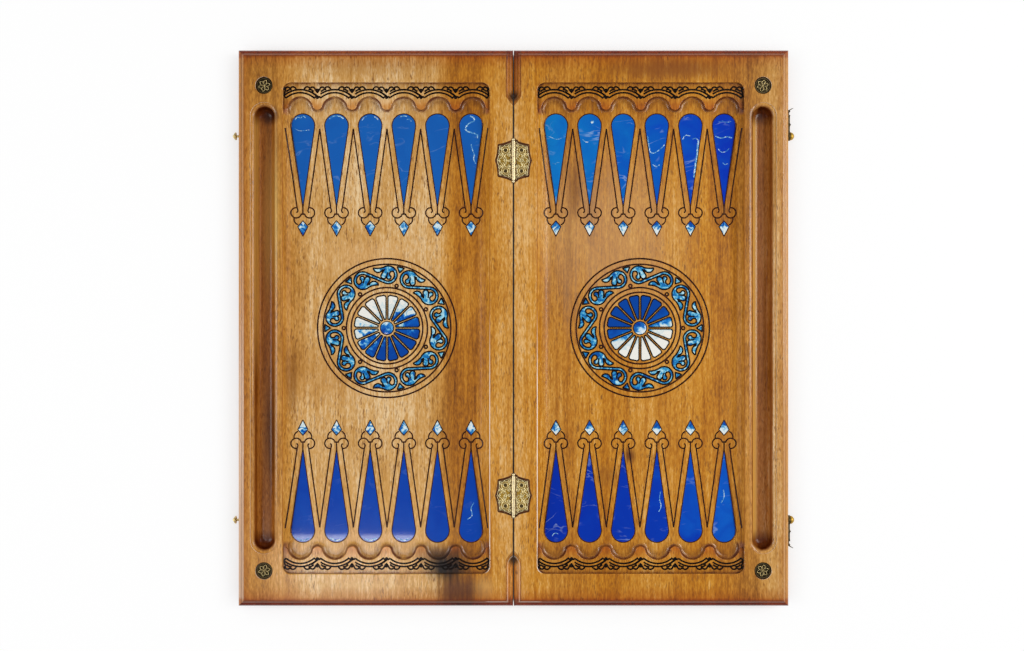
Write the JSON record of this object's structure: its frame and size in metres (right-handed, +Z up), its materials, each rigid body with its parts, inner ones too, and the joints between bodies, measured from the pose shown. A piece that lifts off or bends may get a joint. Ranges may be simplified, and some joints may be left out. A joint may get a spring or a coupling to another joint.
{
  "type": "backgammon board",
  "caption": "Folding wooden backgammon board with blue resin inlays, carved troughs and brass hinges",
  "frame": {"origin": "Middle of the seam between the two open halves, on the plane of their undersides", "axes": "+X runs from the seam over the right half, +Y runs along the seam, +Z is up from the table"},
  "size_m": [0.6088, 0.6, 0.027],
  "materials": {
    "wood_body": "lacquered",
    "resin_azure": "glossy",
    "resin_cobalt": "glossy",
    "resin_marbled": "glossy",
    "brass": "aged",
    "bronze": "darkened"
  },
  "bodies": {
    "right_half": {"right_panel": "wood_body", "right_upper_points": "resin_azure", "right_lower_points": "resin_cobalt", "right_upper_diamonds": "resin_marbled", "right_lower_diamonds": "resin_marbled", "right_petals": "resin_marbled", "right_hub": "resin_marbled", "right_scrolls": "resin_azure", "right_triangles": "resin_azure", "right_upper_button": "bronze", "right_lower_button": "bronze", "upper_hinge_right_leaf": "brass", "lower_hinge_right_leaf": "brass", "upper_hinge_pin": "brass", "lower_hinge_pin": "brass", "upper_hinge_cap": "brass", "lower_hinge_cap": "brass", "right_hinge_screws": "brass", "upper_hook_screw": "brass", "lower_hook_screw": "brass"},
    "left_half": {"left_panel": "wood_body", "left_upper_points": "resin_cobalt", "left_lower_points": "resin_cobalt", "left_upper_diamonds": "resin_marbled", "left_lower_diamonds": "resin_marbled", "left_petals": "resin_marbled", "left_hub": "resin_marbled", "left_scrolls": "resin_azure", "left_triangles": "resin_azure", "left_upper_button": "bronze", "left_lower_button": "bronze", "upper_hinge_left_leaf": "brass", "lower_hinge_left_leaf": "brass", "left_hinge_screws": "brass", "upper_catch": "brass", "lower_catch": "brass"},
    "upper_hook": {"upper_hook": "bronze"},
    "lower_hook": {"lower_hook": "bronze"}
  },
  "joints": [
    {"name": "fold", "type": "hinge", "parent": "right_half", "child": "left_half", "pos_m": [0, 0, 0.0252], "axis": [0, 1, 0], "range_deg": [0, 180]},
    {"name": "upper_hook_swing", "type": "hinge", "parent": "right_half", "child": "upper_hook", "pos_m": [0.2986, 0.208, 0.013], "axis": [1, 0, 0], "range_deg": [-15, 90]},
    {"name": "lower_hook_swing", "type": "hinge", "parent": "right_half", "child": "lower_hook", "pos_m": [0.2986, -0.208, 0.013], "axis": [-1, 0, 0], "range_deg": [-15, 90]}
  ]
}
